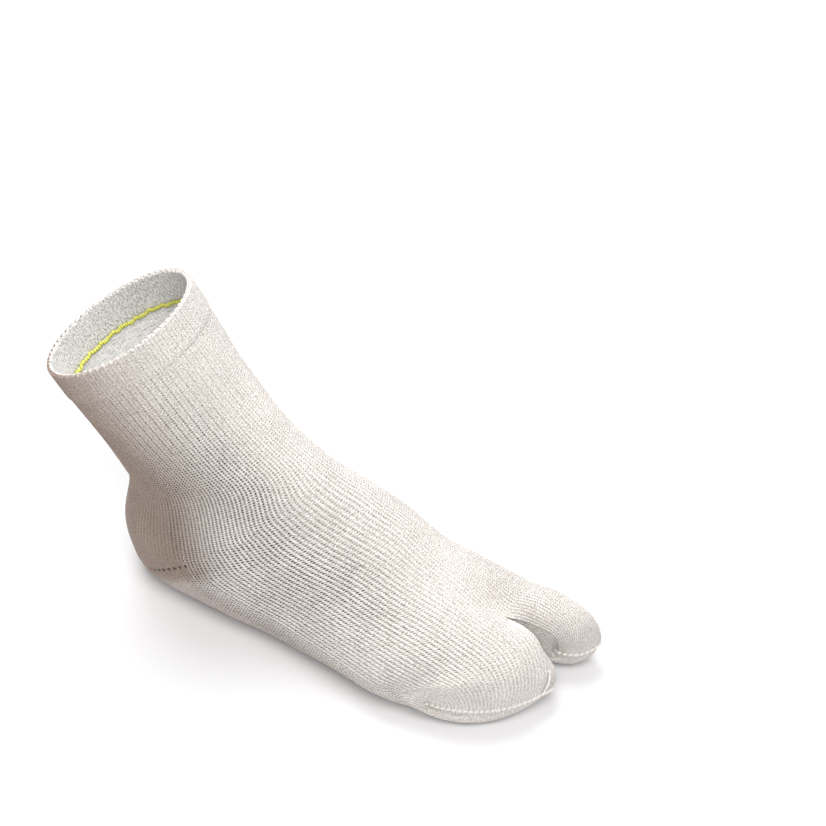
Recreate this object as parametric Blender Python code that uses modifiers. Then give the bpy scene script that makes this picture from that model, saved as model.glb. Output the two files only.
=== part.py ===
"""A knitted split-toe sock for the right foot, standing on its sole.

+X points to the toes, +Y to the big-toe side and +Z up. It is shaped with the back of
the heel near x = 0 and the sole at z = 0, and is then moved level so that the middle of
its box is over the origin. Every piece is a hollow wall, open where the next begins.
"""

import math

import bmesh
import bpy
import numpy as np
from mathutils import Matrix

# Driving sizes, in metres and degrees
FOOT_LENGTH = 0.245  # heel to the tip of the big toe
INSTEP_HEIGHT = 0.098  # top of the foot where the leg begins
BALL_HEIGHT = 0.055
BALL_WIDTH = 0.088
HEEL_WIDTH = 0.069
ARCH_HEIGHT = 0.014  # rise of the sole on the big-toe side

LEG_LENGTH = 0.087  # from the middle of the ankle to the middle of the rim
LEG_LEAN = 35.5  # how far the leg leans back from upright
ANKLE_X = 0.0510  # middle of the ankle
ANKLE_Z = 0.0796
ANKLE_WIDTH = 0.062
ANKLE_DEPTH = 0.105  # from the front to the back of the ankle's slanted ring
CUFF_WIDTH = 0.079
CUFF_DEPTH = 0.080

CLEFT_X = 0.204  # where the split between the toes begins
CLEFT_Y = 0.006
BIG_TOE_LENGTH = 0.044  # from the split to the tip
BIG_TOE_WIDTH = 0.033
SMALL_TOES_LENGTH = 0.030
SMALL_TOES_WIDTH = 0.0505
DIP = 0.20  # how far the top sinks over the split, as a share of its height
DIP_LENGTH = 0.016
DIP_WIDTH = 0.011

WALL = 0.0018
WELT_WALL = 0.0030  # the turned double hem of the cuff
WELT_HEIGHT = 0.017
WELT_PROUD = 0.0006  # how far the hem stands out from the leg
YARN_SIZE = 0.0018  # the coloured marker yarn at the hem's inner edge
SEAM_SIZE = 0.0016  # the linked seam that closes each toe pocket
GAP = 0.0004  # between neighbouring pieces
TOE_GAP = 0.0004  # more of it where a toe pocket meets the foot

POUCH_HALF = 80.0  # the heel pouch reaches this many degrees from the back to each side
EDGE_BAND = 0.0015  # a narrow row of faces along each open edge, so that walls meet square
EDGE_SHARE = 0.1  # the same round the pouch's opening, as a share of a station's step
EDGE_TURN = 2.5  # and in degrees round the ring
EDGE_LIMIT = 0.7  # the band reaches at most this share of the way to the next ring
LEAST_SQUARE = 0.3  # an edge that runs more slantwise than this is moved as if it were this

# How finely the pieces are cut
AROUND = 36  # points round a ring of the tube
STEPS = 2  # rings between two stations
POCKET_INNER = 8  # faces down a toe pocket's wall at the split
CORNER = 145.0  # where that wall's edges lie on a pocket's ring, in degrees from its middle
TIP_STEP = 0.02  # how far back from the last ring the tube's own direction is read
SEAM_END = 1  # points of a toe seam left out at each end

# Stations of the leg, rim first. along: share of LEG_LENGTH. deep and wide: 0 is the
# ankle's size and 1 is the cuff's. tilt: how far the ring rises to the front, in degrees.
LEG_ROWS = (
    # along, deep, wide, tilt
    (1.0, 1.0, 1.0, 35.5),
    (1.0 - WELT_HEIGHT / LEG_LENGTH, 1.0, 0.95, 35.0),
    (0.45, 0.85, 0.55, 28.0),
    (0.17, 0.46, 0.10, 28.8),
    (0.0, 0.0, 0.0, 28.4),
)

# Stations of the foot, ankle first. x is a share of long, z of high, y of wide.
# back: lowest or rearmost point. front: top point, ridge is its sideways place.
# out and big: the widest points of the little-toe side and the big-toe side.
FOOT_ROWS = (
    # long, high, wide, back x z, front x z, out x z y, big x z y, ridge, arch
    (FOOT_LENGTH, INSTEP_HEIGHT, HEEL_WIDTH,
     0.018, 0.370, 0.438, 1.000, 0.230, 0.450, 0.464, 0.286, 0.560, 0.470, 0.00, 0.0),
    (FOOT_LENGTH, INSTEP_HEIGHT, HEEL_WIDTH,
     0.026, 0.200, 0.464, 0.955, 0.238, 0.400, 0.478, 0.294, 0.520, 0.485, 0.01, 0.0),
    (FOOT_LENGTH, INSTEP_HEIGHT, HEEL_WIDTH,
     0.054, 0.055, 0.490, 0.918, 0.249, 0.360, 0.490, 0.305, 0.490, 0.500, 0.02, 0.0),
    (FOOT_LENGTH, INSTEP_HEIGHT, HEEL_WIDTH,
     0.131, -0.012, 0.517, 0.880, 0.270, 0.327, 0.512, 0.325, 0.440, 0.510, 0.04, 0.3),
    (FOOT_LENGTH, INSTEP_HEIGHT, HEEL_WIDTH,
     0.249, -0.012, 0.553, 0.825, 0.343, 0.286, 0.535, 0.392, 0.370, 0.525, 0.05, 0.9),
    (FOOT_LENGTH, INSTEP_HEIGHT, BALL_WIDTH,
     0.371, -0.012, 0.608, 0.735, 0.437, 0.245, 0.432, 0.478, 0.306, 0.412, 0.06, 1.0),
    (FOOT_LENGTH, BALL_HEIGHT, BALL_WIDTH,
     0.518, -0.020, 0.673, 1.100, 0.543, 0.382, 0.476, 0.580, 0.473, 0.405, 0.06, 0.4),
    (FOOT_LENGTH, BALL_HEIGHT, BALL_WIDTH,
     0.653, -0.020, 0.743, 0.970, 0.641, 0.345, 0.532, 0.686, 0.436, 0.415, 0.06, 0.0),
    (CLEFT_X, BALL_HEIGHT, BALL_WIDTH,
     0.937, -0.020, 1.000, 0.850, 0.815, 0.327, 0.512, 1.005, 0.400, 0.410, 0.05, 0.0),
)

# How square the rings are: leg front, leg back, foot top, foot sole
LEG_ROUND = (2.0, 2.0)
FOOT_ROUND = (2.1, 2.8)

# Rings of the toe pockets after the one at the split. x is a share of the pocket's
# length past CLEFT_X, y of its width from CLEFT_Y, z of BALL_HEIGHT. inner is the end
# at the split and outer the far end. bow: how far the ring curves forward, a share of
# its length.
BIG_TOE_ROWS = (
    # inner x y, outer x y, low, high, bow
    (0.16, 0.08, 0.30, 0.950, 0.000, 0.800, 0.03),
    (0.32, 0.13, 0.54, 0.945, 0.010, 0.720, 0.07),
    (0.42, 0.18, 0.74, 0.930, 0.030, 0.640, 0.11),
    (0.48, 0.22, 0.86, 0.870, 0.060, 0.550, 0.15),
    (0.50, 0.26, 0.92, 0.800, 0.110, 0.440, 0.18),
    (0.50, 0.29, 0.93, 0.740, 0.160, 0.330, 0.20),
)
SMALL_TOES_ROWS = (
    (0.30, -0.03, -1.09, 1.012, 0.000, 0.780, 0.200),
    (0.60, -0.04, -0.99, 1.004, 0.015, 0.690, 0.195),
    (0.84, 0.00, -0.90, 0.990, 0.035, 0.590, 0.190),
    (0.97, 0.06, -0.82, 0.970, 0.065, 0.490, 0.180),
    (1.02, 0.13, -0.75, 0.942, 0.100, 0.390, 0.165),
    (1.01, 0.20, -0.69, 0.910, 0.130, 0.290, 0.150),
)
INNER_ROUND = 2.6  # how square a pocket's ring is at the split
OUTER_ROUND = 2.1
ROUND_CUTS = 600  # fine steps in which a ring's run is measured

# Colours, linear
COTTON = (0.76, 0.73, 0.70)
COTTON_ROUGHNESS = 0.9
LIME = (0.58, 0.60, 0.07)
LIME_ROUGHNESS = 0.85


def leg_station(along, deep, wide, tilt):
    """The named points and half widths of one ring of the leg."""
    lean = math.radians(LEG_LEAN)
    middle = np.array((ANKLE_X, ANKLE_Z))
    middle = middle + LEG_LENGTH * along * np.array((-math.sin(lean), math.cos(lean)))
    rise = math.radians(tilt)
    half_depth = 0.5 * (ANKLE_DEPTH + (CUFF_DEPTH - ANKLE_DEPTH) * deep)
    half_width = 0.5 * (ANKLE_WIDTH + (CUFF_WIDTH - ANKLE_WIDTH) * wide)
    reach = half_depth * np.array((math.cos(rise), math.sin(rise)))
    back, front = middle - reach, middle + reach
    return (*back, *front, *middle, half_width, *middle, half_width, 0.0, 0.0, *LEG_ROUND)


def foot_station(long, high, wide, *shares):
    """The same points and half widths for one ring of the foot."""
    bx, bz, fx, fz, ox, oz, oy, gx, gz, gy, ridge, arch = shares
    return (
        bx * long, bz * high, fx * long, fz * high,
        ox * long, oz * high, oy * wide, gx * long, gz * high, gy * wide,
        ridge * wide, arch * ARCH_HEIGHT, *FOOT_ROUND,
    )


STATIONS = np.array(
    [leg_station(*row) for row in LEG_ROWS] + [foot_station(*row) for row in FOOT_ROWS]
)
WELT_END = 1
HEEL_START = len(LEG_ROWS) - 1
POUCH_START = len(LEG_ROWS)
POUCH_END = len(LEG_ROWS) + 3.5
TUBE_END = len(STATIONS) - 1


def between(rows, t):
    """A smooth curve through the rows of a table, read at t, which counts rows."""
    last = len(rows) - 1
    k = min(int(t), last - 1)
    u = t - k
    a, b = rows[max(k - 1, 0)], rows[k]
    c, d = rows[k + 1], rows[min(k + 2, last)]
    slope_b, slope_c = (c - a) / 2, (d - b) / 2
    return (
        b * (2 * u**3 - 3 * u**2 + 1)
        + slope_b * (u**3 - 2 * u**2 + u)
        + c * (3 * u**2 - 2 * u**3)
        + slope_c * (u**3 - u**2)
    )


def tube_point(row, angle):
    """One point of a ring. Angle 0 is the front, a quarter turn the little-toe side."""
    bx, bz, fx, fz, ox, oz, oy, gx, gz, gy, ridge, arch, top, sole = row
    c, s = math.cos(angle), math.sin(angle)
    at_front, at_out = c >= 0, s >= 0
    power = 2 / (top if at_front else sole)
    along, aside = abs(c) ** power, abs(s) ** power
    ex, ez = (fx, fz) if at_front else (bx, bz)
    mx, mz, half = (ox, oz, -oy) if at_out else (gx, gz, gy)
    y = half * aside
    z = mz + (ez - mz) * along
    if at_front:
        y += ridge * along
    elif not at_out:
        z += arch * aside * along
    return (mx + (ex - mx) * along, y, max(z, 0.0))


def pressed(points):
    """The points with the dip over the split between the toes."""
    dx = (points[..., 0] - CLEFT_X) / DIP_LENGTH
    dy = (points[..., 1] - CLEFT_Y) / DIP_WIDTH
    sunk = points.copy()
    sunk[..., 2] *= 1 - DIP * np.exp(-(dx**2 + dy**2))
    return sunk


def tube_ring(t, angles):
    row = between(STATIONS, t)
    return pressed(np.array([tube_point(row, angle) for angle in angles]))


def unit(rows):
    """Each row scaled to length one."""
    return rows / np.linalg.norm(rows, axis=-1, keepdims=True)


def moved(ring, way, amount, limit):
    """The ring moved along way until it lies this far from where it was, square to its run.
    limit is the farthest that each of its points may go."""
    run = unit(np.gradient(ring, axis=0))
    square = np.linalg.norm(way - run * np.sum(way * run, axis=1, keepdims=True), axis=1)
    return ring + way * np.minimum(amount / np.maximum(square, LEAST_SQUARE), limit)[:, None]


def drawn_back(ring, following, way, amount):
    """The ring drawn back by this amount, and a second one EDGE_BAND farther."""
    room = np.linalg.norm(following - ring, axis=1)
    return [moved(ring, way, amount, room * EDGE_LIMIT / 2),
            moved(ring, way, amount + EDGE_BAND, room * EDGE_LIMIT)]


def edged(rings, start=0.0, end=0.0):
    """The rings, drawn back from the first and last by these amounts, with a narrow row
    of faces along each edge that is drawn back."""
    rings = list(rings)
    if start:
        rings[0:1] = drawn_back(rings[0], rings[1], unit(rings[1] - rings[0]), start)
    if end:
        back = drawn_back(rings[-1], rings[-2], unit(rings[-2] - rings[-1]), end)
        rings[-1:] = back[::-1]
    return np.array(rings)


def steps(start, end):
    """Places from start to end, counted in stations."""
    count = max(1, round((end - start) * STEPS))
    return [start + (end - start) * k / count for k in range(count + 1)]


def tube_rings(start, end, angles):
    return [tube_ring(t, angles) for t in steps(start, end)]


def whole_turn():
    return [2 * math.pi * k / AROUND for k in range(AROUND)]


def yarn_material(name, colour, roughness):
    material = bpy.data.materials.new(name)
    material.use_nodes = True
    shader = material.node_tree.nodes["Principled BSDF"]
    shader.inputs["Base Color"].default_value = (*colour, 1.0)
    shader.inputs["Roughness"].default_value = roughness
    shader.inputs["Metallic"].default_value = 0.0
    return material


def skin(rings, closed=True, fold=None, left_out=None):
    """A bmesh of quads through the rings. Where fold is given, the last ring is shut by
    joining each point i to its mirror, point fold - i."""
    mesh = bmesh.new()
    grid = [[mesh.verts.new(point) for point in ring] for ring in rings]
    count = len(grid[0])
    for i, (lower, upper) in enumerate(zip(grid, grid[1:])):
        for j in range(count if closed else count - 1):
            if left_out and left_out(i, j):
                continue
            k = (j + 1) % count
            mesh.faces.new((lower[j], upper[j], upper[k], lower[k]))
    if fold is not None:
        done = set()
        for i in range(count):
            corners = (i, (i + 1) % count, (fold - i - 1) % count, (fold - i) % count)
            loop = list(dict.fromkeys(corners))
            if len(loop) > 2 and frozenset(loop) not in done:
                done.add(frozenset(loop))
                mesh.faces.new([grid[-1][j] for j in loop])
    loose = [vert for vert in mesh.verts if not vert.link_faces]
    bmesh.ops.delete(mesh, geom=loose, context="VERTS")
    return mesh


def add_piece(name, mesh, thickness):
    """An object of its own, its wall grown inwards from the skin."""
    middle = sum((vert.co for vert in mesh.verts), start=mesh.verts[:][0].co * 0)
    middle = middle / len(mesh.verts)
    bmesh.ops.recalc_face_normals(mesh, faces=mesh.faces)
    outwards = sum((face.calc_center_median() - middle).dot(face.normal) * face.calc_area()
                   for face in mesh.faces)
    if outwards < 0:
        bmesh.ops.reverse_faces(mesh, faces=mesh.faces)
    data = bpy.data.meshes.new(name)
    mesh.to_mesh(data)
    mesh.free()
    data.shade_smooth()
    data.set_sharp_from_angle(angle=math.radians(60))
    data.materials.append(yarn_material(name + " cotton", COTTON, COTTON_ROUGHNESS))
    piece = bpy.data.objects.new(name, data)
    sock.objects.link(piece)
    wall = piece.modifiers.new("wall", "SOLIDIFY")
    wall.thickness = thickness
    wall.offset = -1.0


def make_cuff():
    """The turned hem, a little proud of the leg."""
    rings = edged(tube_rings(0, WELT_END, whole_turn()), end=GAP / 2)
    rings = [ring + WELT_PROUD * unit(ring - ring.mean(axis=0)) for ring in rings]
    add_piece("cuff", skin(rings), WELT_WALL)


def make_leg():
    rings = edged(tube_rings(WELT_END, HEEL_START, whole_turn()), GAP / 2, GAP / 2)
    add_piece("leg", skin(rings), WALL)


def pouch_angles():
    """The angles across the heel pouch, from the little-toe side round the back."""
    count = round(2 * POUCH_HALF / 360 * AROUND)
    half = math.radians(POUCH_HALF)
    return [math.pi - half + 2 * half * k / count for k in range(count + 1)]


def make_heel_pouch():
    """The cupped patch round the back and bottom of the heel."""
    rings = edged(tube_rings(POUCH_START, POUCH_END, pouch_angles()), GAP, GAP)
    columns = edged(rings.transpose(1, 0, 2), GAP, GAP)
    add_piece("heel_pouch", skin(columns.transpose(1, 0, 2), closed=False), WALL)


def make_foot():
    """The instep and sole, with the opening that the heel pouch fills."""
    first, last = pouch_angles()[0], pouch_angles()[-1]
    turn = math.radians(EDGE_TURN)
    extra = [first - turn, last + turn, split_top(), split_sole()]
    angles = sorted(whole_turn() + extra)
    places = sorted(
        steps(HEEL_START, POUCH_START)[:-1] + [POUCH_START - EDGE_SHARE]
        + steps(POUCH_START, POUCH_END) + [POUCH_END + EDGE_SHARE]
        + steps(POUCH_END, TUBE_END)[1:]
    )
    # The first ring gets a band of its own when it is drawn back.
    lower_places = places[:1] + places

    def in_pouch(i, j):
        near = 1e-6
        return (POUCH_START - near < lower_places[i] < POUCH_END - near
                and first - near < angles[j] < last - near)

    rings = edged([tube_ring(t, angles) for t in places], GAP / 2, GAP / 2)
    add_piece("foot", skin(rings, left_out=in_pouch), WALL)


def split_angle(start, end):
    """The angle between start and end where the tube's last ring crosses the split."""
    row = between(STATIONS, TUBE_END)
    for _ in range(40):
        middle = (start + end) / 2
        if tube_point(row, middle)[1] > CLEFT_Y:
            start = middle
        else:
            end = middle
    return (start + end) / 2


def split_top():
    return split_angle(-math.pi / 2, math.pi / 2) % (2 * math.pi)


def split_sole():
    return split_angle(3 * math.pi / 2, math.pi / 2)


def round_shares(values, fold):
    """Shares across and up of points spaced evenly round a pocket's ring. fold is the
    number of steps outside the wall at the split."""
    half_wide = np.linalg.norm(values[2:4] - values[:2]) / 2
    half_high = (values[5] - values[4]) / 2
    corner = math.radians(CORNER)
    shares = []
    for begin, end, count in ((corner, -corner, fold),
                              (-corner, corner - 2 * math.pi, POCKET_INNER)):
        turn = np.linspace(begin, end, ROUND_CUTS)
        c, s = np.cos(turn), np.sin(turn)
        power = 2 / np.where(c > 0, OUTER_ROUND, INNER_ROUND)
        across, up = np.sign(c) * np.abs(c) ** power, np.sign(s) * np.abs(s) ** power
        run = np.cumsum(np.hypot(np.diff(across) * half_wide, np.diff(up) * half_high))
        run = np.append(0.0, run)
        at = run[-1] * np.arange(count) / count
        shares.append((np.interp(at, run, across), np.interp(at, run, up)))
    return np.append(shares[0][0], shares[1][0]), np.append(shares[0][1], shares[1][1])


def pocket_rings(rows, length, width, side):
    """Rings of a toe pocket, from the tube's last ring to the closed tip. side is 1 for
    the big toe's side of the split and -1 for the other."""
    row = between(STATIONS, TUBE_END)
    top, sole = split_top(), split_sole()
    full = 2 * math.pi
    span = (top - sole) % full if side > 0 else (sole - top) % full
    inside = sorted((side * (top - a)) % full for a in whole_turn())
    near = 0.01
    outer = [0.0] + [a for a in inside if near < a < span - near] + [span]
    outer = [top - side * a for a in outer]
    start = [np.array(tube_point(row, angle)) for angle in outer]
    share = np.arange(1, POCKET_INNER)[:, None] / POCKET_INNER
    start = np.array(start + list(start[-1] * (1 - share) + start[0] * share))
    start[:, 1] += side * GAP / 2 * (np.abs(start[:, 1] - CLEFT_Y) < GAP)

    fold = len(outer) - 1
    far = start[np.argmax(side * start[:, 1])]
    high = start[:, 2].max()
    shares = np.array([
        (CLEFT_X + ix * length, CLEFT_Y + side * iy * width,
         CLEFT_X + ox * length, CLEFT_Y + side * oy * width,
         low * BALL_HEIGHT, top_z * BALL_HEIGHT, bow)
        for ix, iy, ox, oy, low, top_z, bow in rows
    ])
    table = np.vstack([(CLEFT_X, CLEFT_Y, far[0], far[1], 0.0, high, rows[0][6]), shares])

    def placed(values, across, up):
        inner, outer_end, low, top_z, bow = values[:2], values[2:4], *values[4:]
        chord = outer_end - inner
        forward = np.array((abs(chord[1]), -chord[0] * np.sign(chord[1])))
        plan = inner + chord * ((across + 1) / 2)[:, None]
        plan = plan + forward * (bow * (1 - across**2))[:, None]
        z = (low + top_z) / 2 + (top_z - low) / 2 * up
        return np.column_stack([plan, np.maximum(z, 0.0)])

    chord = far[:2] - table[0][:2]
    first_across = 2 * (start[:, :2] - table[0][:2]) @ chord / (chord @ chord) - 1
    first_up = 2 * start[:, 2] / high - 1
    left_over = start - placed(table[0], first_across, first_up)
    rings = [start]
    last = len(table) - 1
    count = last * STEPS
    for k in range(1, count + 1):
        t = last * k / count
        u = min(1.0, t / (last - 2))
        blend = u * u * (3 - 2 * u)
        values = between(table, t)
        round_across, round_up = round_shares(values, fold)
        across = first_across + (round_across - first_across) * blend
        up = first_up + (round_up - first_up) * blend
        ring = placed(values, across, up) + left_over * (1 - blend)
        ring[:, 2] = np.maximum(ring[:, 2], 0.0)
        rings.append(ring)
    return outer, [pressed(ring) for ring in rings]


def make_pocket(name, rows, length, width, side):
    """A toe pocket, which leaves the tube in the tube's own direction."""
    outer, rings = pocket_rings(rows, length, width, side)
    near = tube_ring(TUBE_END - TIP_STEP, outer)
    way = unit(rings[0][: len(outer)] - near)
    way = np.vstack([way, np.tile((1.0, 0.0, 0.0), (len(rings[0]) - len(outer), 1))])
    first, band = drawn_back(rings[0], rings[1], way, GAP / 2 + TOE_GAP)
    fold = len(outer) - 1
    add_piece(name, skin([first, band] + rings[1:], fold=fold), WALL)
    count = len(rings[-1])
    chain = list(range((fold + count) // 2 + 1, count)) + list(range(fold // 2 + 1))
    return np.array([(rings[-1][i] + rings[-1][(fold - i) % count]) / 2 for i in chain])


def cord_loop(name, points, size, material, closed):
    """A thick thread along the points."""
    curve = bpy.data.curves.new(name, "CURVE")
    curve.dimensions = "3D"
    curve.bevel_depth = size / 2
    curve.bevel_resolution = 1
    curve.use_fill_caps = not closed
    line = curve.splines.new("POLY")
    line.points.add(len(points) - 1)
    for slot, point in zip(line.points, points):
        slot.co = (*point, 1.0)
    line.use_cyclic_u = closed
    curve.materials.append(material)
    sock.objects.link(bpy.data.objects.new(name, curve))


def make_marker_yarn():
    """The coloured yarn inside the leg, just under the hem's inner edge."""
    ring = tube_ring(WELT_END, whole_turn())
    below = tube_ring(WELT_END + 0.1, whole_turn())
    middle = ring.mean(axis=0)
    inset = WALL + GAP + YARN_SIZE / 2
    down = unit(below - ring) * (YARN_SIZE / 2 + GAP)
    points = ring + down - inset * unit(ring - middle)
    cord_loop("marker_yarn", points, YARN_SIZE,
              yarn_material("lime yarn", LIME, LIME_ROUGHNESS), closed=True)


def make_seam(name, line):
    """The linked seam across the closed tip of a pocket, just proud of the cloth."""
    line = line[SEAM_END:-SEAM_END]
    run = np.gradient(line[:, :2], axis=0)
    forward = unit(np.column_stack([np.abs(run[:, 1]), -run[:, 0] * np.sign(run[:, 1]),
                                    np.zeros(len(line))]))
    cord_loop(name, line + forward * (SEAM_SIZE / 2 + GAP), SEAM_SIZE,
              yarn_material(name + " cotton", COTTON, COTTON_ROUGHNESS), closed=False)


def centre_over_origin():
    """Moves every piece level by the same amount, so the middle of their box is at x = y = 0."""
    seen = bpy.context.evaluated_depsgraph_get()
    points = np.array([vert.co for piece in sock.objects
                       for vert in piece.evaluated_get(seen).to_mesh().vertices])
    middle = (points.min(axis=0) + points.max(axis=0)) / 2
    shift = Matrix.Translation((-middle[0], -middle[1], 0.0))
    for piece in sock.objects:
        piece.data.transform(shift)


for old in list(bpy.data.objects):
    bpy.data.objects.remove(old, do_unlink=True)

sock = bpy.data.collections.new("split_toe_sock")
bpy.context.scene.collection.children.link(sock)

make_cuff()
make_leg()
make_heel_pouch()
make_foot()
big_tip = make_pocket("big_toe_pocket", BIG_TOE_ROWS, BIG_TOE_LENGTH, BIG_TOE_WIDTH, 1)
small_tip = make_pocket("small_toes_pocket", SMALL_TOES_ROWS, SMALL_TOES_LENGTH,
                        SMALL_TOES_WIDTH, -1)
make_marker_yarn()
make_seam("big_toe_seam", big_tip)
make_seam("small_toes_seam", small_tip)
centre_over_origin()
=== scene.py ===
import math
import bpy
import numpy as np
from mathutils import Matrix, Vector, noise


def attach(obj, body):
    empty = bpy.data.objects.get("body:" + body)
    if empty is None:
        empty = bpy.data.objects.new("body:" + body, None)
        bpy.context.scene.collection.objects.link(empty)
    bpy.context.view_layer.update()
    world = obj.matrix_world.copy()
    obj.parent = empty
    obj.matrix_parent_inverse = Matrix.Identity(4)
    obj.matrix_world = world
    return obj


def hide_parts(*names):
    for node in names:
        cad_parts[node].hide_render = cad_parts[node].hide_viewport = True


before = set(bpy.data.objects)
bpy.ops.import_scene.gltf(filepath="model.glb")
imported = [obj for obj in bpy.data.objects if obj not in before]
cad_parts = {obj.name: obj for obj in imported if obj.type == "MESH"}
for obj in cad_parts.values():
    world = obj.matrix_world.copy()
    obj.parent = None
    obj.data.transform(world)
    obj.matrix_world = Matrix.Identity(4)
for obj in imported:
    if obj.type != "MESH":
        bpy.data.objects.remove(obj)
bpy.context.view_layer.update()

# The form of the sock, the same as the frame's: lengths in metres, angles in degrees
form = {
    "footLength": 0.245,
    "instepHeight": 0.098,
    "ballHeight": 0.055,
    "ballWidth": 0.088,
    "heelWidth": 0.069,
    "archHeight": 0.014,
    "legLength": 0.087,
    "legLean": 35.5,
    "ankleX": 0.0510,
    "ankleZ": 0.0796,
    "ankleWidth": 0.062,
    "ankleDepth": 0.105,
    "cuffWidth": 0.079,
    "cuffDepth": 0.080,
    "hemHeight": 0.017,
    "cleftX": 0.204,
    "cleftY": 0.006,
    "bigToeLength": 0.044,
    "bigToeWidth": 0.033,
    "smallToesLength": 0.030,
    "smallToesWidth": 0.0505,
    "dip": 0.20,  # how far the top sinks over the split, as a share of its height
    "dipLength": 0.016,
    "dipWidth": 0.011,
    "wall": 0.0016,
    "shift": (-0.106904, 0.003358, 0.0),  # from the heel's back to the middle of the box
}

# The knit: one column of stitches is a wale and one row is a course
knit = {
    "wales": 128,  # round the whole leg
    "pointsPerWale": 4,
    "courseHeight": 0.0014,
    "rowsPerStep": [26, 22, 24, 10, 27, 26, 26, 26, 30, 28, 30, 30, 28],  # between two stations
    "sharpAngle": 80.0,  # steeper than any groove, and less than the turn at an open end
}

# Each row of the leg has its place along it, from the rim at 1 to the ankle at 0, its shares
# of the cuff's depth and width, and its tilt.
legRows = [
    (1.0, 1.0, 1.0, 35.5),
    (1.0 - form["hemHeight"] / form["legLength"], 1.0, 0.95, 35.0),
    (0.45, 0.85, 0.55, 28.0),
    (0.17, 0.46, 0.10, 28.8),
    (0.0, 0.0, 0.0, 28.4),
]
# Each row of the foot has the sizes its heights and widths follow, then shares of them and of
# the length: x and z of the sole and of the top, x, z and y of the little-toe side, the same
# of the big-toe side, how far the ridge lies off the middle, and its share of the arch.
footRows = [
    ("instepHeight", "heelWidth",
     0.018, 0.370, 0.438, 1.000, 0.230, 0.450, 0.464, 0.286, 0.560, 0.470, 0.00, 0.0),
    ("instepHeight", "heelWidth",
     0.026, 0.200, 0.464, 0.955, 0.238, 0.400, 0.478, 0.294, 0.520, 0.485, 0.01, 0.0),
    ("instepHeight", "heelWidth",
     0.054, 0.055, 0.490, 0.918, 0.249, 0.360, 0.490, 0.305, 0.490, 0.500, 0.02, 0.0),
    ("instepHeight", "heelWidth",
     0.131, -0.012, 0.517, 0.880, 0.270, 0.327, 0.512, 0.325, 0.440, 0.510, 0.04, 0.3),
    ("instepHeight", "heelWidth",
     0.249, -0.012, 0.553, 0.825, 0.343, 0.286, 0.535, 0.392, 0.370, 0.525, 0.05, 0.9),
    ("instepHeight", "ballWidth",
     0.371, -0.012, 0.608, 0.735, 0.437, 0.245, 0.432, 0.478, 0.306, 0.412, 0.06, 1.0),
    ("ballHeight", "ballWidth",
     0.518, -0.020, 0.673, 1.100, 0.543, 0.382, 0.476, 0.580, 0.473, 0.405, 0.06, 0.4),
    ("ballHeight", "ballWidth",
     0.653, -0.020, 0.743, 0.970, 0.641, 0.345, 0.532, 0.686, 0.436, 0.415, 0.06, 0.0),
    ("ballHeight", "ballWidth",
     0.937, -0.020, 1.000, 0.850, 0.815, 0.327, 0.512, 1.005, 0.400, 0.410, 0.05, 0.0),
]


def legStation(along, deep, wide, tilt):
    lean = math.radians(form["legLean"])
    middle = np.array((form["ankleX"], form["ankleZ"]))
    middle = middle + form["legLength"] * along * np.array((-math.sin(lean), math.cos(lean)))
    rise = math.radians(tilt)
    halfDepth = 0.5 * (form["ankleDepth"] + (form["cuffDepth"] - form["ankleDepth"]) * deep)
    halfWidth = 0.5 * (form["ankleWidth"] + (form["cuffWidth"] - form["ankleWidth"]) * wide)
    reach = halfDepth * np.array((math.cos(rise), math.sin(rise)))
    back, front = middle - reach, middle + reach
    return (*back, *front, *middle, halfWidth, *middle, halfWidth, 0.0, 0.0, 2.0, 2.0)


def footStation(row, high, wide, shares):
    bx, bz, fx, fz, ox, oz, oy, gx, gz, gy, ridge, arch = shares
    long = form["cleftX"] if row == len(footRows) - 1 else form["footLength"]
    return (bx * long, bz * high, fx * long, fz * high,
            ox * long, oz * high, oy * wide, gx * long, gz * high, gy * wide,
            ridge * wide, arch * form["archHeight"], 2.1, 2.8)


stations = np.array(
    [legStation(*row) for row in legRows]
    + [footStation(i, form[row[0]], form[row[1]], row[2:]) for i, row in enumerate(footRows)]
)


def between(rows, t):  # a smooth curve through the rows, read at t
    last = len(rows) - 1
    k = min(int(t), last - 1)
    u = t - k
    a, b = rows[max(k - 1, 0)], rows[k]
    c, d = rows[k + 1], rows[min(k + 2, last)]
    slopeB, slopeC = (c - a) / 2, (d - b) / 2
    return (b * (2 * u**3 - 3 * u**2 + 1) + slopeB * (u**3 - 2 * u**2 + u)
            + c * (3 * u**2 - 2 * u**3) + slopeC * (u**3 - u**2))


def tubePoints(t, angles):  # angle 0 is the front, a quarter turn the little-toe side
    bx, bz, fx, fz, ox, oz, oy, gx, gz, gy, ridge, arch, top, sole = between(stations, t)
    c, s = np.cos(angles), np.sin(angles)
    front, out = c >= 0, s >= 0
    power = np.where(front, 2 / top, 2 / sole)
    along, aside = np.abs(c) ** power, np.abs(s) ** power
    ex, ez = np.where(front, fx, bx), np.where(front, fz, bz)
    mx, mz = np.where(out, ox, gx), np.where(out, oz, gz)
    y = np.where(out, -oy, gy) * aside + np.where(front, ridge * along, 0.0)
    z = mz + (ez - mz) * along + np.where(~front & ~out, arch * aside * along, 0.0)
    return np.column_stack([mx + (ex - mx) * along, y, np.maximum(z, 0.0)])


def evenRing(t):  # a ring whose points are evenly spaced within each of its quarters
    quarter = knit["wales"] * knit["pointsPerWale"] // 4
    ring = []
    for k in range(4):
        angles = np.linspace(k, k + 1, 241) * math.pi / 2
        points = tubePoints(t, angles)
        run = np.concatenate([[0], np.cumsum(np.linalg.norm(np.diff(points, axis=0), axis=1))])
        ring.append(np.interp(np.arange(quarter) / quarter * run[-1], run, angles))
    return tubePoints(t, np.concatenate(ring))


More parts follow.
